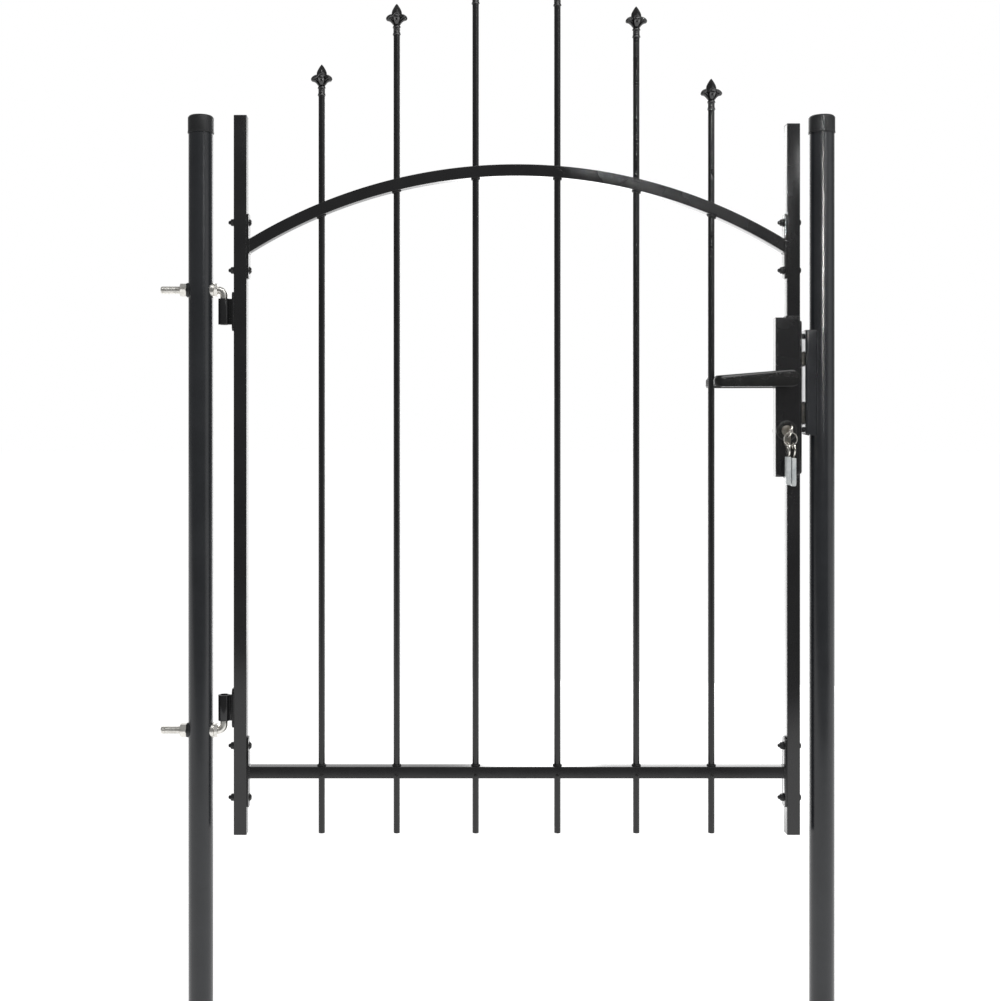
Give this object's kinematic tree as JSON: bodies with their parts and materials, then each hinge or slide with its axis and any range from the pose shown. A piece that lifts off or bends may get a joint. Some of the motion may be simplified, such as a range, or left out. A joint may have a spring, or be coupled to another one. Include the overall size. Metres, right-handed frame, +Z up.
{
  "type": "garden gate",
  "caption": "Arched single-leaf garden gate of tube and round bars with finials, hung by pintles between two round posts, with lever lock, keeper and keys.",
  "frame": {"origin": "centre of the hinge post's foot, at ground level", "axes": "+X from the hinge post to the latch post, -Y out of the gate's front, +Z up"},
  "size_m": [1.0438, 0.0875, 1.724],
  "materials": {
    "post_coat": "satin black powder coat on round steel tube",
    "frame_coat": "satin black powder coat on steel tube, bar and plate",
    "casting_coat": "glossy black paint on a casting",
    "handle_coat": "satin black paint on cast aluminium",
    "black_fastener": "black oxide steel",
    "black_plastic": "moulded black plastic",
    "zinc_plate": "bright zinc plate",
    "nickel_plate": "nickel plate on brass",
    "clear_plastic": "milky translucent plastic"
  },
  "bodies": {
    "posts": {"hinge_post": "post_coat", "latch_post": "post_coat", "post_caps": "black_plastic", "upper_pintle": "zinc_plate", "lower_pintle": "zinc_plate", "hinge_nuts": "zinc_plate", "hinge_washers": "zinc_plate", "saddle_washers": "black_plastic", "keeper": "post_coat"},
    "leaf": {"hinge_upright": "frame_coat", "latch_upright_top": "frame_coat", "latch_upright_bottom": "frame_coat", "upright_plugs": "black_plastic", "arch_rail": "frame_coat", "bottom_rail": "frame_coat", "end_plates": "frame_coat", "bar_1": "frame_coat", "bar_2": "frame_coat", "bar_3": "frame_coat", "bar_4": "frame_coat", "bar_5": "frame_coat", "bar_6": "frame_coat", "spear_1": "casting_coat", "spear_2": "casting_coat", "spear_3": "casting_coat", "spear_4": "casting_coat", "spear_5": "casting_coat", "spear_6": "casting_coat", "rail_bushings": "black_plastic", "arch_bushings": "black_plastic", "upper_hinge_eye": "frame_coat", "lower_hinge_eye": "frame_coat", "hinge_plates": "frame_coat", "flange_bolts": "black_fastener", "cap_nuts": "black_plastic", "lock_case": "frame_coat", "lock_faceplate": "frame_coat", "lock_cylinder": "nickel_plate", "cylinder_rosettes": "handle_coat", "key": "nickel_plate", "key_ring": "nickel_plate", "spare_keys": "nickel_plate", "key_sleeves": "clear_plastic"},
    "lever": {"lever_front": "handle_coat", "lever_back": "handle_coat", "lever_spindle": "zinc_plate"},
    "latch": {"latch_bolt": "zinc_plate"},
    "dead": {"deadbolt": "zinc_plate"}
  },
  "joints": [
    {"name": "gate_swing", "type": "hinge", "parent": "posts", "child": "leaf", "pos_m": [0.036, 0, 1.199], "axis": [0, 0, 1], "range_deg": [-90, 90]},
    {"name": "lever_turn", "type": "hinge", "parent": "leaf", "child": "lever", "pos_m": [0.9045, 0, 1.09496], "axis": [0, -1, 0], "range_deg": [0, 45], "stiffness_Nm_per_rad": 0.6, "springref_deg": -20.05},
    {"name": "latch_slide", "type": "slide", "parent": "leaf", "child": "latch", "axis": [-1, 0, 0], "range_m": [0, 0.0095]},
    {"name": "deadbolt_slide", "type": "slide", "parent": "leaf", "child": "dead", "axis": [-1, 0, 0], "range_m": [0, 0.0095]}
  ],
  "couplings": [
    {"joint": "latch_slide", "follows": "lever_turn", "m_per_rad": 0.012}
  ]
}
